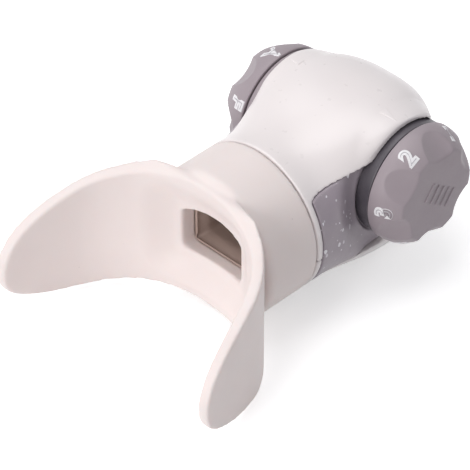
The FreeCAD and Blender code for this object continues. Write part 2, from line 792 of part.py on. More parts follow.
def dial_base(side):
    """The dark collar: a floor with the air inlet and screw holes, and a notched rim."""
    name = side + "_dial_base"
    body = new_body(name)
    turned(body, [("collar_start", "axle_bore_radius"), ("collar_start", "collar_radius"),
                  ("collar_end", "collar_radius"), ("collar_end", "collar_inner_radius"),
                  ("collar_floor_top", "collar_inner_radius"), ("collar_floor_top", "axle_bore_radius")],
           name + "_collar")
    holes_through(body, [("inlet_radius", None, "-orifice_pitch")], name + "_inlet")
    screw = holes_through(body, [("base_screw_bore", None, "base_screw_pitch")], name + "_screw_hole")
    around(body, screw, "base_screw_count", name + "_screw_holes")
    sink = sunk_holes(body, "base_sink_radius", "base_screw_pitch", "sink_start", name + "_sink")
    around(body, sink, "base_screw_count", name + "_sinks")
    notch = sunk_holes(body, "notch_radius", "collar_inner_radius", "collar_floor_top", name + "_notch")
    around(body, notch, "click_count", name + "_notches")
    at_dial(body, side)


def sunk_holes(body, radius, pitch, start, name):
    """A round pocket from a level along X outwards."""
    sketch = new_sketch(body, "YZ_Plane", name + "_outline")
    ring(sketch, radius, None, pitch)
    sketch.setExpression("AttachmentOffset.Base.z", formula(start))
    pocket = body.newObject("PartDesign::Pocket", name)
    pocket.Profile = sketch
    pocket.Type = "ThroughAll"
    pocket.Reversed = True
    return pocket


def orifice_disc(side):
    """The disc that turns with the dial: six holes of growing size, each with a click nib outside it."""
    name = side + "_orifice_disc"
    body = new_body(name)
    turned(body, [("disc_start", "dial_bore_radius"), ("disc_start", "disc_radius"),
                  ("disc_end", "disc_radius"), ("disc_end", "dial_bore_radius")], name + "_plate")
    nib = new_sketch(body, "YZ_Plane", name + "_nib_outline")
    ring(nib, "nib_radius", None, "nib_pitch")
    nib.setExpression("AttachmentOffset.Base.z", formula("disc_start"))
    pad = body.newObject("PartDesign::Pad", name + "_nib")
    pad.Profile = nib
    pad.setExpression("Length", formula("disc_thickness"))
    around(body, pad, "click_count", name + "_nibs")
    circles = []
    for word in WORDS:
        circles.append(("orifice_radius_" + word, "orifice_across_" + word, "orifice_up_" + word))
    holes = holes_through(body, circles, name + "_orifices")
    body.Tip = holes
    at_dial(body, side)


def dial(side):
    """The knob: a hollow cap with a sloping flank, six finger scallops and a boss for the axle."""
    name = side + "_dial"
    body = new_body(name)
    turned(body, [("disc_end", "dial_bore_radius"), ("disc_end", "dial_boss_radius"),
                  ("dial_roof_inside", "dial_boss_radius"), ("dial_roof_inside", "dial_cavity_top"),
                  ("dial_rim_at", "dial_cavity_rim"), ("dial_rim_at", "dial_rim_radius"),
                  ("dial_shoulder_at", "dial_rim_radius"), ("dial_bend_at", "dial_bend_radius"),
                  ("dial_edge_start", "dial_face_radius"), ("dial_face_at", "dial_flat_radius"),
                  ("dial_face_at", None),
                  ("dial_roof_inside", None), ("dial_roof_inside", "dial_bore_radius")], name + "_cap")
    groove = body.newObject("PartDesign::SubtractiveCylinder", name + "_scallop")
    groove.setExpression("Radius", formula("scallop_radius"))
    groove.setExpression("Height", formula("scallop_length"))
    tilt = FreeCAD.Rotation(vector(0, 1, 0), size("scallop_tilt"))
    groove.Placement = FreeCAD.Placement(vector(size("scallop_from"), 0, size("scallop_level")), tilt)
    groove.setExpression("Placement.Base.x", formula("scallop_from"))
    groove.setExpression("Placement.Base.z", formula("scallop_level"))
    groove.setExpression("Placement.Rotation.Angle", formula("scallop_tilt"))
    around(body, groove, "click_count", name + "_scallops")
    at_dial(body, side, size(side + "_dial_roll"))


def axle(side):
    name = side + "_axle"
    body = new_body(name)
    turned(body, [("axle_start", None), ("axle_start", "axle_radius"), ("clip_start", "axle_radius"),
                  ("clip_start", "axle_groove_radius"), ("washer_start", "axle_groove_radius"),
                  ("washer_start", "axle_radius"), ("axle_end", "axle_radius"), ("axle_end", None)],
           name + "_pin")
    at_dial(body, side)


def base_screws(side):
    """Three sunk screws between the dial base and the drum."""
    pitch = size("base_screw_pitch")
    pieces = []
    for _, y, z in base_holes(0)[1:]:
        shank = rod(size("base_screw_radius"), (size("drum_inside"), y, z), (1, 0, 0),
                    size("sink_start") - size("drum_inside") + size("sink_gap"))
        head = rod(size("base_screw_head"), (size("sink_start"), y, z), (1, 0, 0),
                   size("base_screw_head_height"))
        pieces.append(shank.fuse(head))
    item = doc.addObject("Part::Feature", side + "_base_screws")
    item.Label = side + "_base_screws"
    item.Shape = Part.makeCompound(pieces)
    at_dial(item, side)


for side in ("inhale", "exhale"):
    valve_seat(side)
    flap = (side + "_flap_start", side + "_flap_end", "flap_bore_radius", "flap_radius")
    ring_solid(side, "valve_flap", *flap)
    ring_solid(side, "port_seal", "port_end", "drum_inside", "seal_inner_radius", "seal_outer_radius")
    dial_base(side)
    orifice_disc(side)
    dial(side)
    axle(side)
    ring_solid(side, "washer", "washer_start", "drum_inside", "washer_bore_radius", "washer_radius")
    ring_solid(side, "axle_clip", "clip_start", "washer_start", "clip_bore_radius", "clip_radius")
    base_screws(side)


# Case screws and pointer marks

def screws():
    pieces = []
    for x, y in case_screws():
        shank = rod(size("screw_radius"), (x, y, screw_seat()), (0, 0, 1), screw_reach())
        head = rod(size("screw_head_radius"), (x, y, screw_seat() - size("screw_head_height")), (0, 0, 1),
                   size("screw_head_height"))
        pieces.append(shank.fuse(head))
    return Part.makeCompound(pieces)


def pointers():
    """Two small raised triangles on the roof, each pointing out to its dial."""
    skin = case_solid(-size("pointer_relief"), 0.0).cut(outer)
    side, back = size("pointer_side"), size("pointer_setback")
    half, long = size("pointer_half_width"), size("pointer_length")
    marks = []
    for sign in (-1, 1):
        corners = [vector(sign * x, y, 0) for x, y in
                   ((side - long / 2, back - half), (side + long / 2, back), (side - long / 2, back + half))]
        face = Part.Face(Part.makePolygon(corners + corners[:1]))
        marks.append(face.extrude(vector(0, 0, FAR)).common(skin))
    return Part.makeCompound(marks)


free_shape("case_screws", screws())
free_shape("pointer_marks", pointers())
doc.recompute()

pieces = [item for item in doc.Objects if item.TypeId == "PartDesign::Body"
          or (item.TypeId == "Part::Feature" and not item.InList)]
for item in doc.Objects:
    if "Invalid" in item.State or "Error" in item.State:
        raise RuntimeError("%s did not compute: %s" % (item.Label, item.State))
os.makedirs("parts", exist_ok=True)
for item in pieces:
    if item.Shape.isNull() or not item.Shape.isValid() or not item.Shape.Solids:
        raise RuntimeError(item.Label + " has no valid shape")
    item.Shape.exportStep("parts/%s.step" % item.Label)
    print("%-24s %2d solid(s) %9.1f mm3" % (item.Label, len(item.Shape.Solids), item.Shape.Volume))
print(len(pieces), "pieces written")
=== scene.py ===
import json
import math

import bmesh
import bpy
from mathutils import Matrix, Vector


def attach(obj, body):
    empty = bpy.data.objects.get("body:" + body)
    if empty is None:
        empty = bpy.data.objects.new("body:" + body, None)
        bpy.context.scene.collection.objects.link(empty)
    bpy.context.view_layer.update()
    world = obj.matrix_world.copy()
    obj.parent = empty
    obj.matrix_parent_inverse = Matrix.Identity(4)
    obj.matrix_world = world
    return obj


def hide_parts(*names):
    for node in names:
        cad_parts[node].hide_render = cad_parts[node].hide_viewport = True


# A hand-held breathing trainer: silicone lip piece, glossy two-part case, speckled side panels
# and two stepped dials. Lengths in the dictionaries are millimetres, angles are degrees.

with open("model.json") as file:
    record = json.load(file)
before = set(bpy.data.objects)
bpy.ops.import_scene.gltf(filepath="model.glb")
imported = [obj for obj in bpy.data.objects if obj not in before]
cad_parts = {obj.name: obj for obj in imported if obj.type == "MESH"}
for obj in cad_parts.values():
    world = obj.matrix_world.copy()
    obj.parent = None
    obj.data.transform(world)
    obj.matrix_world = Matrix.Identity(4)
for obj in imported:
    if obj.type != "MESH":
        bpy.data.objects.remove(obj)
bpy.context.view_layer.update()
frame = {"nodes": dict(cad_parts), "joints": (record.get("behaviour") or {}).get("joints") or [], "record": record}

mm = 0.001
joints = {joint["name"]: joint for joint in frame["joints"]}
dialCentre = Vector(joints["inhale_dial_turn"]["pos_m"])
neckJoint = {"beforeDials": 30.8, "belowDials": 5.2}
seam = dialCentre - Vector((0, neckJoint["beforeDials"], neckJoint["belowDials"])) * mm
print("frame loaded:", len(frame["nodes"]), "nodes")


# Camera and room

cameraView = {"azimuth": 44.66, "elevation": 39.93, "distance": 777.8, "aside": -5.41, "above": -4.62,
              "lens": 249.86}


def placeCamera(view):
    turn, rise = math.radians(view["azimuth"]), math.radians(view["elevation"])
    back = Vector((math.sin(turn) * math.cos(rise), -math.cos(turn) * math.cos(rise), math.sin(rise)))
    right = Vector((math.cos(turn), math.sin(turn), 0))
    up = back.cross(right)
    lens = bpy.data.cameras.new("photoCamera")
    lens.lens = view["lens"]
    lens.clip_start, lens.clip_end = 0.01, 20
    camera = bpy.data.objects.new("photoCamera", lens)
    place = seam + (back * view["distance"] + right * view["aside"] + up * view["above"]) * mm
    camera.matrix_world = Matrix.Translation(place) @ Matrix((right, up, back)).transposed().to_4x4()
    bpy.context.scene.collection.objects.link(camera)
    bpy.context.scene.camera = camera


room = {"skyColour": (0.95, 0.96, 1.0, 1), "skyStrength": 0.34,
        "floorColour": (0.9, 0.9, 0.9, 1), "floorLift": 0.46, "floorHalf": 1500,
        "lamps": [("overheadBox", (-170, -40, 620), 640, 2.25, (1, 0.985, 0.98)),
                  ("frontBox", (60, -720, 320), 420, 2.6, (1, 0.985, 0.98)),
                  ("rearBox", (160, 620, 420), 300, 0.35, (0.94, 0.97, 1))]}


def whiteToTheEye(tree):
    # 1 for rays that see the backdrop straight, in a reflection or through glass
    path = tree.nodes.new("ShaderNodeLightPath")
    seen = path.outputs["Is Camera Ray"]
    for other in ("Is Glossy Ray", "Is Transmission Ray"):
        either = tree.nodes.new("ShaderNodeMath")
        either.operation = "MAXIMUM"
        tree.links.new(seen, either.inputs[0])
        tree.links.new(path.outputs[other], either.inputs[1])
        seen = either.outputs[0]
    return seen


def lightRoom():
    scene = bpy.context.scene
    scene.view_settings.view_transform = "Standard"
    world = bpy.data.worlds.new("softRoom")
    world.use_nodes = True
    scene.world = world
    tree = world.node_tree
    sky = tree.nodes["Background"]
    sky.inputs["Color"].default_value = room["skyColour"]
    sky.inputs["Strength"].default_value = room["skyStrength"]
    backdrop = tree.nodes.new("ShaderNodeBackground")
    backdrop.inputs["Color"].default_value = (1, 1, 1, 1)
    mix = tree.nodes.new("ShaderNodeMixShader")
    tree.links.new(whiteToTheEye(tree), mix.inputs[0])
    tree.links.new(sky.outputs[0], mix.inputs[1])
    tree.links.new(backdrop.outputs[0], mix.inputs[2])
    tree.links.new(mix.outputs[0], tree.nodes["World Output"].inputs["Surface"])
    for name, place, width, power, colour in room["lamps"]:
        lamp = bpy.data.lights.new(name, "AREA")
        lamp.shape = "DISK"
        lamp.size = width * mm
        lamp.energy = power
        lamp.color = colour
        holder = bpy.data.objects.new(name, lamp)
        holder.location = Vector(place) * mm
        aim = (seam - holder.location).to_track_quat("-Z", "Y")
        holder.rotation_euler = aim.to_euler()
        scene.collection.objects.link(holder)


def layFloor():
    bm = bmesh.new()
    bmesh.ops.create_grid(bm, x_segments=2, y_segments=2, size=room["floorHalf"] * mm)
    mesh = bpy.data.meshes.new("floor")
    bm.to_mesh(mesh)
    bm.free()
    floor = bpy.data.objects.new("floor", mesh)
    bpy.context.scene.collection.objects.link(floor)
    material = bpy.data.materials.new("paleFloor")
    material.use_nodes = True
    tree = material.node_tree
    plain = tree.nodes["Principled BSDF"]
    plain.inputs["Base Color"].default_value = room["floorColour"]
    plain.inputs["Roughness"].default_value = 0.9
    plain.inputs["Specular IOR Level"].default_value = 0.1
    glow = tree.nodes.new("ShaderNodeEmission")
    glow.inputs["Color"].default_value = (1, 1, 1, 1)
    lift = tree.nodes.new("ShaderNodeMath")
    lift.operation = "MULTIPLY"
    lift.inputs[1].default_value = room["floorLift"]
    both = tree.nodes.new("ShaderNodeAddShader")
    tree.links.new(whiteToTheEye(tree), lift.inputs[0])
    tree.links.new(lift.outputs[0], glow.inputs["Strength"])
    tree.links.new(plain.outputs[0], both.inputs[0])
    tree.links.new(glow.outputs[0], both.inputs[1])
    tree.links.new(both.outputs[0], tree.nodes["Material Output"].inputs["Surface"])
    mesh.materials.append(material)


placeCamera(cameraView)
lightRoom()
layFloor()
print("camera, lamps and floor placed")


# Finishes

class Finish:
    # One principled material and the small set of nodes that the finishes share.

    def __init__(self, name, roughness, **sockets):
        self.material = bpy.data.materials.new(name)
        self.material.use_nodes = True
        self.tree = self.material.node_tree
        self.shader = self.tree.nodes["Principled BSDF"]
        self.shader.inputs["Roughness"].default_value = roughness
        for socket, value in sockets.items():
            self.shader.inputs[socket.replace("_", " ")].default_value = value
        self.places = self.tree.nodes.new("ShaderNodeTexCoord").outputs["Object"]

    def link(self, source, target):
        self.tree.links.new(source, target)

    def stretched(self, scale, turn=(0, 0, 0)):
        mapping = self.tree.nodes.new("ShaderNodeMapping")
        mapping.inputs["Scale"].default_value = scale
        mapping.inputs["Rotation"].default_value = [math.radians(a) for a in turn]
        self.link(self.places, mapping.inputs["Vector"])
        return mapping.outputs["Vector"]

    def noise(self, grain, detail=3.0, places=None):
        # grain is the size of one patch, in millimetres
        node = self.tree.nodes.new("ShaderNodeTexNoise")
        node.inputs["Scale"].default_value = 1 / (grain * mm)
        node.inputs["Detail"].default_value = detail
        self.link(places or self.places, node.inputs["Vector"])
        return node.outputs["Fac"]

    def sum(self, operation, first, second):
        node = self.tree.nodes.new("ShaderNodeMath")
        node.operation = operation
        for index, value in enumerate((first, second)):
            if isinstance(value, (int, float)):
                node.inputs[index].default_value = value
            else:
                self.link(value, node.inputs[index])
        return node.outputs[0]

    def spread(self, source, low, high):
        # the middle half of a noise, spread between two values
        node = self.tree.nodes.new("ShaderNodeMapRange")
        node.inputs["From Min"].default_value = 0.3
        node.inputs["From Max"].default_value = 0.7
        node.inputs["To Min"].default_value = low
        node.inputs["To Max"].default_value = high
        self.link(source, node.inputs["Value"])
        return node.outputs["Result"]

    def blend(self, source, first, second):
        node = self.tree.nodes.new("ShaderNodeMix")
        node.data_type = "RGBA"
        self.link(source, node.inputs["Factor"])
        for name, value in (("A", first), ("B", second)):
            socket = next(s for s in node.inputs if s.name == name and s.type == "RGBA")
            if isinstance(value, tuple):
                socket.default_value = (*value, 1)
            else:
                self.link(value, socket)
        return next(s for s in node.outputs if s.type == "RGBA")

    def colour(self, source):
        self.link(source, self.shader.inputs["Base Color"])

    def rough(self, source):
        self.link(source, self.shader.inputs["Roughness"])

    def bump(self, source, height, strength=1.0):
        # height is the relief in millimetres; layers stack
        node = self.tree.nodes.new("ShaderNodeBump")
        node.inputs["Strength"].default_value = strength
        node.inputs["Distance"].default_value = height * mm
        self.link(source, node.inputs["Height"])
        normal = self.shader.inputs["Normal"]
        if normal.is_linked:
            self.link(normal.links[0].from_socket, node.inputs["Normal"])
        self.link(node.outputs["Normal"], normal)


def glossWhite():
    finish = Finish("glossWhite", 0.3, Coat_Weight=0.15, Coat_Roughness=0.2)
    tint = finish.spread(finish.noise(26, 2), 0, 1)
    finish.colour(finish.blend(tint, (0.82, 0.765, 0.76), (0.84, 0.79, 0.79)))
    finish.rough(finish.spread(finish.noise(2.2, 4), 0.27, 0.36))
    finish.bump(finish.noise(3.5, 2), 0.008)
    return finish.material


def softSilicone():
    finish = Finish("softSilicone", 0.5, Specular_IOR_Level=0.42, Subsurface_Weight=0.12,
                    Subsurface_Radius=(0.004, 0.002, 0.0015), Subsurface_Scale=0.6)
    tint = finish.spread(finish.noise(18, 3), 0, 1)
    base = finish.blend(tint, (0.82, 0.735, 0.715), (0.845, 0.765, 0.745))
    dust = finish.tree.nodes.new("ShaderNodeTexVoronoi")
    dust.inputs["Scale"].default_value = 1 / (7 * mm)
    finish.link(finish.places, dust.inputs["Vector"])
    speck = finish.sum("LESS_THAN", dust.outputs["Distance"], 0.022)
    finish.colour(finish.blend(finish.sum("MULTIPLY", speck, 0.35), base, (0.34, 0.29, 0.28)))
    finish.rough(finish.spread(finish.noise(1.4, 4), 0.44, 0.56))
    finish.bump(finish.noise(0.35, 3), 0.012)
    finish.bump(finish.noise(9, 2), 0.02)
    return finish.material


def dialGrey():
    finish = Finish("dialGrey", 0.48, Specular_IOR_Level=0.4)
    tint = finish.spread(finish.noise(11, 4), 0, 1)
    finish.colour(finish.blend(tint, (0.335, 0.285, 0.312), (0.365, 0.315, 0.34)))
    finish.rough(finish.spread(finish.noise(0.8, 3), 0.42, 0.54))
    finish.bump(finish.noise(0.22, 2), 0.012)
    return finish.material


def speckledGrey():
    finish = Finish("speckledGrey", 0.34, Specular_IOR_Level=0.5)
    tint = finish.spread(finish.noise(7, 4), 0, 1)
    base = finish.blend(tint, (0.33, 0.283, 0.324), (0.385, 0.336, 0.371))
    slanted = finish.stretched((1, 1, 0.6), (24, 0, 0))
    wander = finish.tree.nodes.new("ShaderNodeTexNoise")
    wander.inputs["Scale"].default_value = 1 / (0.6 * mm)
    finish.link(slanted, wander.inputs["Vector"])
    ragged = finish.tree.nodes.new("ShaderNodeVectorMath")
    ragged.operation = "MULTIPLY_ADD"
    finish.link(wander.outputs["Color"], ragged.inputs[0])
    ragged.inputs[1].default_value = (0.0005, 0.0005, 0.0005)
    finish.link(slanted, ragged.inputs[2])
    places = ragged.outputs[0]
    flecks = None
    for pitch, least, largest in ((1.7, 0.3, 0.3), (1.2, 0.5, 0.22)):
        cells = finish.tree.nodes.new("ShaderNodeTexVoronoi")
        cells.inputs["Scale"].default_value = 1 / (pitch * mm)
        finish.link(places, cells.inputs["Vector"])
        part = finish.tree.nodes.new("ShaderNodeSeparateColor")
        finish.link(cells.outputs["Color"], part.inputs["Color"])
        reach = finish.tree.nodes.new("ShaderNodeMapRange")
        reach.inputs["From Min"].default_value = least
        reach.inputs["To Max"].default_value = largest
        finish.link(part.outputs[0], reach.inputs["Value"])
        spot = finish.sum("LESS_THAN", cells.outputs["Distance"], reach.outputs["Result"])
        spot = finish.sum("MULTIPLY", spot, finish.spread(part.outputs[1], 0.6, 1))
        flecks = spot if flecks is None else finish.sum("MAXIMUM", flecks, spot)
    finish.colour(finish.blend(flecks, base, (0.80, 0.78, 0.82)))
    finish.rough(finish.spread(finish.noise(1.1, 4), 0.28, 0.42))
    finish.bump(finish.noise(0.5, 3), 0.01)
    return finish.material


def darkPlastic():
    finish = Finish("darkPlastic", 0.42)
    tint = finish.spread(finish.noise(6, 3), 0, 1)
    finish.colour(finish.blend(tint, (0.07, 0.062, 0.075), (0.10, 0.09, 0.105)))
    finish.rough(finish.spread(finish.noise(0.9, 3), 0.36, 0.5))
    finish.bump(finish.noise(0.3, 2), 0.012)
    return finish.material


def innerPlastic():
    finish = Finish("innerPlastic", 0.38)
    tint = finish.spread(finish.noise(14, 3), 0, 1)
    # the duct's plastic is off-white; this dark brown is painted shade of the deep duct interior, varied at random
    # between two browns
    finish.colour(finish.blend(tint, (0.40, 0.30, 0.26), (0.45, 0.345, 0.30)))
    finish.rough(finish.spread(finish.noise(1.3, 3), 0.32, 0.46))
    finish.bump(finish.noise(0.6, 2), 0.01)
    return finish.material


def sealRubber():
    finish = Finish("sealRubber", 0.7)
    tint = finish.spread(finish.noise(1.2, 5), 0, 1)
    finish.colour(finish.blend(tint, (0.022, 0.022, 0.024), (0.045, 0.044, 0.046)))
    finish.rough(finish.spread(finish.noise(0.7, 4), 0.6, 0.85))
    finish.bump(finish.noise(0.18, 3), 0.02)
    return finish.material


def flapSilicone():
    finish = Finish("flapSilicone", 0.45, Transmission_Weight=0.15)
    tint = finish.spread(finish.noise(4, 3), 0, 1)
    finish.colour(finish.blend(tint, (0.74, 0.72, 0.70), (0.80, 0.78, 0.76)))
    finish.rough(finish.spread(finish.noise(0.8, 3), 0.38, 0.55))
    finish.bump(finish.noise(0.25, 3), 0.012)
    return finish.material


def steel():
    finish = Finish("steel", 0.3, Metallic=1.0)
    turned = finish.noise(0.9, 4, finish.stretched((1, 1, 14)))
    finish.colour(finish.blend(finish.spread(turned, 0, 1), (0.56, 0.56, 0.57), (0.66, 0.66, 0.67)))
    finish.rough(finish.spread(turned, 0.2, 0.36))
    finish.bump(turned, 0.006)
    return finish.material


def scaleWhite():
    # the light edge of the numbers and letters on the dials
    finish = Finish("scaleWhite", 0.5)
    tint = finish.spread(finish.noise(0.7, 4), 0, 1)
    finish.colour(finish.blend(tint, (0.80, 0.79, 0.81), (0.90, 0.89, 0.91)))
    finish.rough(finish.spread(finish.noise(0.5, 3), 0.42, 0.6))
    finish.bump(finish.noise(0.2, 2), 0.01)
    return finish.material


def scaleGrey():
    # the thin line that runs inside each number and letter
    finish = Finish("scaleGrey", 0.5)
    tint = finish.spread(finish.noise(0.7, 4), 0, 1)
    finish.colour(finish.blend(tint, (0.47, 0.45, 0.48), (0.56, 0.54, 0.57)))
    finish.rough(finish.spread(finish.noise(0.5, 3), 0.42, 0.6))
    finish.bump(finish.noise(0.2, 2), 0.01)
    return finish.material


finishes = {"gloss_white": glossWhite(), "speckled_grey": speckledGrey(), "white_silicone": softSilicone(),
            "inner_plastic": innerPlastic(), "seal_rubber": sealRubber(), "flap_silicone": flapSilicone(),
            "dark_plastic": darkPlastic(), "dial_grey": dialGrey(), "steel": steel()}
slotOf = {part["node"]: part["material_slot"] for part in frame["record"]["subparts"]}
for name, node in frame["nodes"].items():
    node.data.materials.clear()
    node.data.materials.append(finishes[slotOf[name]])
print("finishes made:", len(finishes) + 2)


# Making pieces

def addPiece(name, mesh, body, slot, material=None, sharpAbove=42):
    # a finished mesh becomes a piece that moves with a body of the frame
    mesh.name = name
    mesh.materials.clear()
    mesh.materials.append(material or finishes[slot])
    mesh.shade_smooth()
    mesh.set_sharp_from_angle(angle=math.radians(sharpAbove))
    piece = bpy.data.objects.new(name, mesh)
    bpy.context.scene.collection.objects.link(piece)
    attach(piece, body)
    return piece


def meshOf(bm):
    mesh = bpy.data.meshes.new("part")
    bm.to_mesh(mesh)
    bm.free()
    return mesh


def evaluated(thing):
    # the mesh of an object with its modifiers or its text applied; the object goes
    scene = bpy.context.scene
    scene.collection.objects.link(thing)
    mesh = bpy.data.meshes.new_from_object(thing.evaluated_get(bpy.context.evaluated_depsgraph_get()))
    bpy.data.objects.remove(thing)
    return mesh


def eased(value, low, high):
    # 0 below low, 1 above high and a smooth rise between
    share = min(max((value - low) / (high - low), 0), 1)
    return share * share * (3 - 2 * share)


def mouldedCopy(node, grain, rounds, shape=None):
    # the node's own solid, rebuilt in even small faces, eased as a mould eases its edges and then shaped
    bm = bmesh.new()
    bm.from_mesh(frame["nodes"][node].data)
    bmesh.ops.remove_doubles(bm, verts=bm.verts, dist=0.002 * mm)
    blank = bpy.data.objects.new("blank", meshOf(bm))
    voxels = blank.modifiers.new("voxels", "REMESH")
    voxels.mode = "VOXEL"
    voxels.voxel_size = grain * mm
    bm = bmesh.new()
    bm.from_mesh(evaluated(blank))
    for step in range(rounds):
        bmesh.ops.smooth_vert(bm, verts=bm.verts, factor=0.5, use_axis_x=True, use_axis_y=True, use_axis_z=True)
    if shape:
        for vert in bm.verts:
            vert.co = shape(vert.co)
    return meshOf(bm)


# Mouthpiece

lipPiece = {"grain": 0.4, "rounds": 9, "dishDepth": 3.0, "dishReach": 8.5, "holeHalf": 9.8,
            "holeMiddle": 0.7, "holeHigh": 6.9, "faceAt": -17.8, "stillAt": -12.0}


def dished(place):
    # the inner face sinks smoothly towards the mouth opening
    x, y, z = (place - seam) / mm
    aside = math.hypot(max(abs(x) - lipPiece["holeHalf"], 0),
                       max(abs(z - lipPiece["holeMiddle"]) - lipPiece["holeHigh"], 0))
    near = 1 - eased(aside, 0.5, lipPiece["dishReach"])
    front = min(max((lipPiece["stillAt"] - y) / (lipPiece["stillAt"] - lipPiece["faceAt"]), 0), 1)
    return place + Vector((0, lipPiece["dishDepth"] * near * front * mm, 0))


def makeLipPiece():
    mesh = mouldedCopy("mouthpiece", lipPiece["grain"], lipPiece["rounds"], dished)
    piece = addPiece("lipPiece", mesh, "mouthpiece", "white_silicone", sharpAbove=60)
    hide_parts("mouthpiece")
    print("lip piece:", len(mesh.polygons), "faces")


makeLipPiece()


# Case

brow = {"inside": 15.45, "outside": 19.5, "reach": 18.8, "from": 12.5, "full": 16.0}
dialWell = {"inside": 13.5, "near": 16.5, "far": 23.5, "depth": 2.2}
collar = {"foot": 19.4, "deeper": 2.3, "radius": 15.0, "cadRadius": 15.3}
pointerSink = 0.14
nose = {"back": -7.5, "front": -11.6, "wall": 1.3, "edge": 0.4, "halfWide": 8.4, "low": -4.7, "high": 4.0}


def aroundDial(place):
    out = (place - dialCentre) / mm
    return math.hypot(out.y, out.z), out


def browed(place):
    # the cover's shoulder grows out into a lip over each dial
    reach, out = aroundDial(place)
    wide = abs(place.x) / mm
    if reach < brow["inside"] or wide > brow["reach"]:
        return place
    share = 1 - eased(reach, brow["inside"] + 0.8, brow["outside"])
    share *= eased(out.z / reach, 0.5, 0.88) * eased(wide, brow["from"], brow["full"])
    grown = wide + (brow["reach"] - wide) * share
    return Vector((math.copysign(grown * mm, place.x), place.y, place.z))


def sunken(place):
    # the pointers stand only a little proud of the cover
    return browed(place) - Vector((0, 0, pointerSink * mm))


def welled(place):
    # the panel sinks towards the front of its dial, where the collar shows
    reach, out = aroundDial(place)
    if reach < dialWell["inside"]:
        return place
    share = 1 - eased(reach, dialWell["near"], dialWell["far"])
    share *= eased(-out.y / reach, -0.1, 0.6)
    sunk = abs(place.x) - dialWell["depth"] * share * mm
    return Vector((math.copysign(sunk, place.x), place.y, place.z))


def collared(place):
    # the collar goes on inwards to the bottom of that well
    reach, out = aroundDial(place)
    wide = abs(place.x) / mm
    if reach < collar["radius"] - 0.8:
        return place
    if wide < collar["foot"]:
        wide -= collar["deeper"]
    slim = collar["radius"] / collar["cadRadius"]
    return Vector((math.copysign(wide * mm, place.x), dialCentre.y + out.y * slim * mm,
                   dialCentre.z + out.z * slim * mm))


def flared(place):
    # the duct's mouth thins to a fine edge
    x, y, z = (place - seam) / mm
    share = eased(-y, -nose["back"], -nose["front"]) * (nose["wall"] - nose["edge"])
    middle = (nose["low"] + nose["high"]) / 2
    tall = (nose["high"] - nose["low"]) / 2
    if abs(x) < nose["halfWide"] + 0.3 and abs(z - middle) < tall + 0.3 and share > 0:
        x *= 1 + share / nose["halfWide"]
        z = middle + (z - middle) * (1 + share / tall)
    return seam + Vector((x, y, z)) * mm


caseParts = [("topCover", "top_shell", "gloss_white", 0.33, 7, browed),
             ("bottomCover", "bottom_shell", "gloss_white", 0.33, 7, None),
             ("rightPanel", "side_panel_right", "speckled_grey", 0.26, 6, welled),
             ("leftPanel", "side_panel_left", "speckled_grey", 0.26, 6, welled),
             ("airTube", "air_duct", "inner_plastic", 0.34, 3, flared),
             ("rightCollar", "inhale_dial_base", "dark_plastic", 0.22, 2, collared),
             ("leftCollar", "exhale_dial_base", "dial_grey", 0.22, 2, collared),
             ("pointers", "pointer_marks", "gloss_white", 0.1, 1, sunken)]


def makeCase():
    for name, node, slot, grain, rounds, shape in caseParts:
        mesh = mouldedCopy(node, grain, rounds, shape)
        piece = addPiece(name, mesh, "case", slot, sharpAbove=60)
        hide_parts(node)
        print(name + ":", len(mesh.polygons), "faces")


makeCase()


# Dials

knob = {"segments": 288, "rimAt": 21.1, "rimRadius": 15.45, "shoulderAt": 21.5, "faceAt": 29.3,
        "faceRadius": 12.0, "flankPower": 2.1, "edgeRound": 0.4, "faceDome": 0.15,
        "roofInside": 27.9, "hollowTop": 10.2, "hollowRim": 14.0, "boreRadius": 0.4,
        "scallops": 6, "scallopRadius": 8.4, "scallopDepth": 2.0, "scallopFrom": 23.7, "scallopEase": 0.07,
        "flankSteps": 36}
knobSides = {"inhale": {"facing": 1, "scallopAt": 23.6}, "exhale": {"facing": -1, "scallopAt": 4.4}}


def flankRadius(along):
    # the plain cap's radius, without scallops: nearly a cylinder at the rim, then rounding to the face
    share = (along - knob["shoulderAt"]) / (knob["faceAt"] - knob["shoulderAt"])
    share = min(max(share, 0), 1)
    fall = knob["rimRadius"] - knob["faceRadius"]
    return knob["faceRadius"] + fall * (1 - share ** knob["flankPower"])


def scallopedRadius(along, angle, firstScallop):
    plain = flankRadius(along)
    pitch = 2 * math.pi / knob["scallops"]
    off = (angle - math.radians(firstScallop) + pitch / 2) % pitch - pitch / 2
    start = knob["scallopFrom"]
    deepest = knob["faceRadius"] - knob["scallopDepth"]
    rise = (flankRadius(start) - deepest) / (knob["faceAt"] - start)
    centre = deepest + rise * (knob["faceAt"] - along) + knob["scallopRadius"]
    inside = knob["scallopRadius"] ** 2 - (centre * math.sin(off)) ** 2
    if inside <= 0:
        return plain
    cut = centre * math.cos(off) - math.sqrt(inside)
    ease = knob["scallopEase"]
    share = min(max(0.5 + (cut - plain) / (2 * ease), 0), 1)
    return cut + (plain - cut) * share - ease * share * (1 - share)


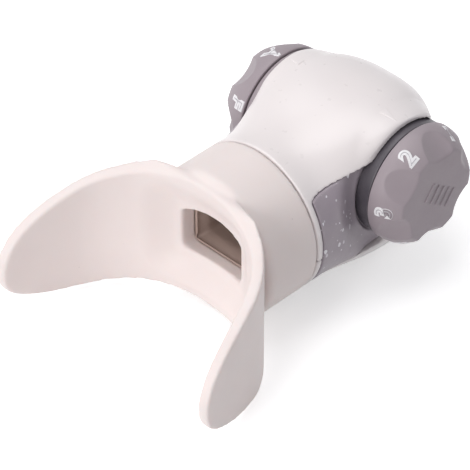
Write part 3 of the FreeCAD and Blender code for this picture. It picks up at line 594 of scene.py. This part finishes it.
def knobRings(firstScallop):
    # each ring has its place along the axis and a function that gives its radius at an angle
    def plain(radius):
        return lambda angle: radius

    def cut(along, less=0.0, share=1.0):
        return lambda angle: (scallopedRadius(along, angle, firstScallop) - less) * share

    rings = [(knob["roofInside"], plain(knob["hollowTop"] * part)) for part in (0.3, 0.6, 0.9, 1.0)]
    rings += [(knob["roofInside"] - 0.5, plain(knob["hollowTop"] + 0.4)),
              (knob["rimAt"] + 0.9, plain(knob["hollowRim"])), (knob["rimAt"] + 0.1, plain(knob["hollowRim"])),
              (knob["rimAt"], plain(knob["hollowRim"] + 0.1)), (knob["rimAt"], plain(knob["rimRadius"] - 0.35))]
    for step in range(1, 5):
        turn = math.pi / 2 * step / 4
        rings.append((knob["rimAt"] + 0.35 * (1 - math.cos(turn)),
                      plain(knob["rimRadius"] - 0.35 + 0.35 * math.sin(turn))))
    topAt = knob["faceAt"] - knob["edgeRound"]
    for step in range(knob["flankSteps"] + 1):
        along = knob["shoulderAt"] + (topAt - knob["shoulderAt"]) * step / knob["flankSteps"]
        rings.append((along, cut(along)))
    for step in range(1, 6):
        turn = math.pi / 2 * step / 5
        along = topAt + knob["edgeRound"] * math.sin(turn)
        rings.append((along, cut(along, knob["edgeRound"] * (1 - math.cos(turn)))))
    for share in (0.98, 0.94, 0.86, 0.74, 0.6, 0.44, 0.28, 0.12):
        along = knob["faceAt"] + knob["faceDome"] * (1 - share * share)
        rings.append((along, cut(knob["faceAt"], knob["edgeRound"], share)))
    return rings


def onDial(facing, along, radius, angle):
    return dialCentre + Vector((facing * along, radius * math.cos(angle), radius * math.sin(angle))) * mm


def makeKnob(side):
    facing, firstScallop = knobSides[side]["facing"], knobSides[side]["scallopAt"]
    bm = bmesh.new()
    toAxis = Matrix.Rotation(math.radians(90), 4, "Y") @ Matrix.Rotation(math.radians(90), 4, "Z")
    made = bmesh.ops.create_circle(bm, segments=knob["segments"], radius=knob["boreRadius"], matrix=toAxis)
    verts = made["verts"]
    edges = list(bm.edges)
    angles = {vert: math.atan2(vert.co.z, vert.co.y) for vert in verts}
    for vert in verts:
        vert.co = onDial(facing, knob["roofInside"], knob["boreRadius"], angles[vert])
    for along, radiusAt in knobRings(firstScallop):
        grown = bmesh.ops.extrude_edge_only(bm, edges=edges)["geom"]
        edges = [item for item in grown if isinstance(item, bmesh.types.BMEdge)]
        for vert in (item for item in grown if isinstance(item, bmesh.types.BMVert)):
            place = (vert.co - dialCentre)
            angle = math.atan2(place.z, place.y)
            vert.co = onDial(facing, along, radiusAt(angle), angle)
    bmesh.ops.holes_fill(bm, edges=[edge for edge in bm.edges if edge.is_boundary], sides=0)
    caps = [face for face in bm.faces if len(face.verts) > 4]
    bmesh.ops.poke(bm, faces=caps)
    bmesh.ops.recalc_face_normals(bm, faces=bm.faces)
    piece = addPiece(side + "Knob", meshOf(bm), side + "_dial", "dial_grey", sharpAbove=50)
    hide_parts(side + "_dial")


faceRibs = {"count": 5, "pitch": 2.25, "length": 5.0, "width": 0.6, "proud": 0.3, "sunk": 0.3, "turn": -36,
            "offAxis": (1.0, -0.5)}


def makeFaceRibs(side):
    # five short plain ribs on the face, to steady a fingertip
    facing = knobSides[side]["facing"]
    bm = bmesh.new()
    for index in range(faceRibs["count"]):
        offset = (index - (faceRibs["count"] - 1) / 2) * faceRibs["pitch"]
        made = bmesh.ops.create_cube(bm, size=1)["verts"]
        tall = faceRibs["proud"] + faceRibs["sunk"]
        bmesh.ops.scale(bm, verts=made, vec=(tall, faceRibs["width"], faceRibs["length"]))
        bmesh.ops.translate(bm, verts=made, vec=(tall / 2 - faceRibs["sunk"], offset, 0))
    long = [edge for edge in bm.edges if edge.calc_length() > 0.1]
    bmesh.ops.bevel(bm, geom=long, offset=0.13, offset_type="OFFSET", segments=3, profile=0.5, affect="EDGES",
                    material=-1)
    turn = Matrix.Rotation(math.radians(faceRibs["turn"] * facing), 4, "X")
    bmesh.ops.transform(bm, verts=bm.verts, matrix=turn)
    aside, above = faceRibs["offAxis"]
    bmesh.ops.translate(bm, verts=bm.verts, vec=(0, aside, above))
    for vert in bm.verts:
        reach = math.hypot(vert.co.y, vert.co.z) / knob["faceRadius"]
        along = knob["faceAt"] + knob["faceDome"] * (1 - reach * reach) + vert.co.x
        vert.co = dialCentre + Vector((facing * along, vert.co.y, vert.co.z)) * mm
    bmesh.ops.recalc_face_normals(bm, faces=bm.faces)
    addPiece(side + "FaceRibs", meshOf(bm), side + "_dial", "dial_grey")


# The number or letter on each ridge, and the angle of its middle: from the rear, over the top.
scaleMarks = {"inhale": [(str(number), 60 * number - 3.3) for number in range(1, 7)],
              "exhale": [(letter, 95 - 60 * index) for index, letter in enumerate("ABCDEF")]}
scaleStyle = {"height": 4.7, "middleAt": {"inhale": 25.4, "exhale": 23.6}, "boldness": 0.058, "thinness": -0.036,
              "relief": 0.2, "lineRelief": 0.23, "sunk": 0.25}


def glyphMesh(text, boldness, rounding):
    curve = bpy.data.curves.new("glyph", "FONT")
    curve.body = text
    curve.size = 1
    curve.extrude = 0.05
    curve.offset = boldness
    curve.bevel_depth = rounding
    curve.bevel_resolution = 2
    curve.resolution_u = 6
    return evaluated(bpy.data.objects.new("glyph", curve))


def addGlyph(bm, side, text, middle, boldness, relief, outline):
    # lays one character on the sloping flank with its top to the rim; outline is the bold one's box
    facing = knobSides[side]["facing"]
    mesh = glyphMesh(text, boldness, 0.012)
    first = len(bm.verts)
    bm.from_mesh(mesh)
    bm.verts.ensure_lookup_table()
    verts = bm.verts[first:]
    low, high, left, right = outline
    scale = scaleStyle["height"] / (high - low)
    top = max(vert.co.z for vert in verts)
    bottom = min(vert.co.z for vert in verts)
    slope = math.atan2(knob["rimRadius"] - knob["faceRadius"], knob["faceAt"] - knob["shoulderAt"])
    for vert in verts:
        across = (vert.co.x - (left + right) / 2) * scale
        up = (vert.co.y - (low + high) / 2) * scale
        out = relief if vert.co.z > (top + bottom) / 2 else -scaleStyle["sunk"]
        if abs(vert.co.z - top) > 0.004 and out > 0:
            out *= 0.4
        along = scaleStyle["middleAt"][side] - up * math.cos(slope)
        radius = flankRadius(along) + out * math.cos(slope)
        angle = math.radians(middle) - facing * across / radius
        vert.co = onDial(facing, along + out * math.sin(slope), radius, angle)


def makeScale(side):
    for name, boldness, relief, material in (
            ("ScaleEdge", scaleStyle["boldness"], scaleStyle["relief"], scaleWhite()),
            ("ScaleLine", scaleStyle["thinness"], scaleStyle["lineRelief"], scaleGrey())):
        bm = bmesh.new()
        for text, middle in scaleMarks[side]:
            bold = glyphMesh(text, scaleStyle["boldness"], 0.012)
            xs = [vert.co.x for vert in bold.vertices]
            ys = [vert.co.y for vert in bold.vertices]
            addGlyph(bm, side, text, middle, boldness, relief, (min(ys), max(ys), min(xs), max(xs)))
        bmesh.ops.remove_doubles(bm, verts=bm.verts, dist=0.005 * mm)
        bmesh.ops.recalc_face_normals(bm, faces=bm.faces)
        addPiece(side + name, meshOf(bm), side + "_dial", "dial_grey", material)


for side in knobSides:
    makeKnob(side)
    makeFaceRibs(side)
    makeScale(side)
    print(side, "dial made")
